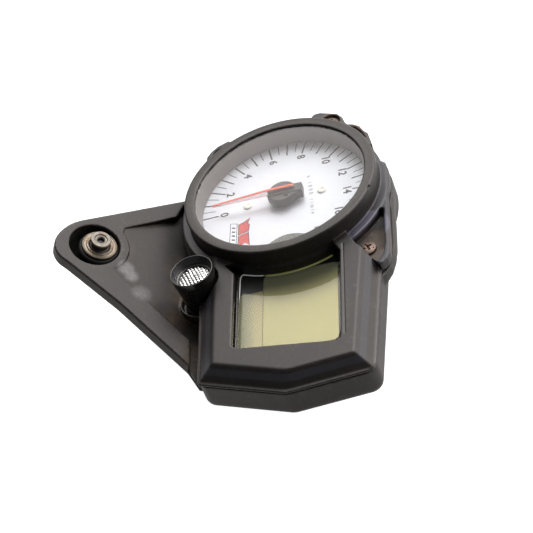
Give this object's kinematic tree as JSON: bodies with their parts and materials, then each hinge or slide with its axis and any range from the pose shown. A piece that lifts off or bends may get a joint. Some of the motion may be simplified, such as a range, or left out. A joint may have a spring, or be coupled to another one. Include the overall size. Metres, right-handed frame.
{
  "type": "motorcycle instrument cluster",
  "caption": "Motorcycle instrument cluster: round pointer gauge over a rectangular liquid crystal display, shift lamp and a rubber-mounted side arm.",
  "frame": {"origin": "on the axis of the gauge's pointer, at the flat back of the rear housing's round part", "axes": "+Z is the dial's outward normal, +X is the top of the instrument as mounted, -Y is the display side"},
  "size_m": [0.1695, 0.1951, 0.0642],
  "materials": {
    "housing_plastic": "moulded black plastic, satin, slightly faded",
    "rear_plastic": "moulded black plastic with a fine grain, dusty",
    "clear_cover": "clear polished plastic",
    "frosted_plastic": "grey frosted plastic",
    "dial_print": "printed white dial sheet",
    "smoked_plastic": "smoked clear plastic",
    "zinc_steel": "turned steel",
    "hub_plastic": "dark grey plastic",
    "pointer_red": "clear pointer with a red top edge",
    "nylon": "natural nylon",
    "magnet": "bonded magnet with a nylon pinion",
    "copper_wire": "enamelled copper winding",
    "motor_plastic": "black plastic",
    "board": "green circuit board",
    "white_plastic": "white light-guiding plastic",
    "display_glass": "yellow-green liquid crystal glass, unpowered",
    "black_rubber": "black rubber",
    "dark_steel": "brown-black coated steel, worn",
    "lamp_plastic": "satin black plastic",
    "lamp_mirror": "vacuum-metallised reflector",
    "worn_steel": "plated steel with light rust"
  },
  "bodies": {
    "housing": {"front_cover": "housing_plastic", "rear_housing": "rear_plastic", "dial_lens": "clear_cover", "dial_trim_ring": "frosted_plastic", "dial_face": "dial_print", "telltale_window": "smoked_plastic", "dial_peg_left": "zinc_steel", "dial_peg_right": "zinc_steel", "transfer_axle": "zinc_steel", "stator_plate": "zinc_steel", "coil_left": "copper_wire", "coil_right": "copper_wire", "motor_base": "motor_plastic", "motor_cap": "motor_plastic", "circuit_board": "board", "telltale_led_1": "white_plastic", "telltale_led_2": "white_plastic", "telltale_led_3": "white_plastic", "telltale_led_4": "white_plastic", "telltale_light_box": "white_plastic", "display_lens": "clear_cover", "display_glass": "display_glass", "display_holder": "white_plastic", "display_diffuser": "white_plastic", "display_contact_strip": "black_rubber", "housing_seal": "black_rubber", "cover_screw_1": "dark_steel", "cover_screw_2": "dark_steel", "cover_screw_3": "dark_steel", "back_screw_1": "dark_steel", "back_screw_2": "dark_steel", "shift_lamp_hood": "lamp_plastic", "shift_lamp_reflector": "lamp_mirror", "shift_lamp_lens": "clear_cover", "shift_lamp_bulb": "clear_cover", "shift_lamp_holder": "motor_plastic", "arm_grommet": "black_rubber", "arm_washer": "worn_steel", "arm_sleeve": "worn_steel", "rear_grommet_left": "black_rubber", "rear_grommet_right": "black_rubber", "rear_sleeve_left": "zinc_steel", "rear_sleeve_right": "zinc_steel", "connector_header": "motor_plastic", "vent_plug": "black_rubber"},
    "pointer": {"pointer_shaft": "zinc_steel", "output_wheel": "nylon", "needle_blade": "pointer_red", "needle_hub": "hub_plastic"},
    "transfer": {"transfer_wheel": "nylon"},
    "rotor": {"motor_rotor": "magnet"}
  },
  "joints": [
    {"name": "pointer_turn", "type": "hinge", "parent": "housing", "child": "pointer", "pos_m": [0, 0, 0.036], "axis": [0, 0, 1], "range_deg": [-232, 1]},
    {"name": "transfer_turn", "type": "hinge", "parent": "housing", "child": "transfer", "pos_m": [0, -0.007, 0.028], "axis": [0, 0, 1], "range_deg": [-10, 1400]},
    {"name": "rotor_turn", "type": "hinge", "parent": "housing", "child": "rotor", "pos_m": [0.00329, -0.01318, 0.026], "axis": [0, 0, 1], "range_deg": [-8400, 40]}
  ],
  "couplings": [
    {"joint": "transfer_turn", "follows": "pointer_turn", "ratio": -6},
    {"joint": "rotor_turn", "follows": "pointer_turn", "ratio": 36}
  ]
}
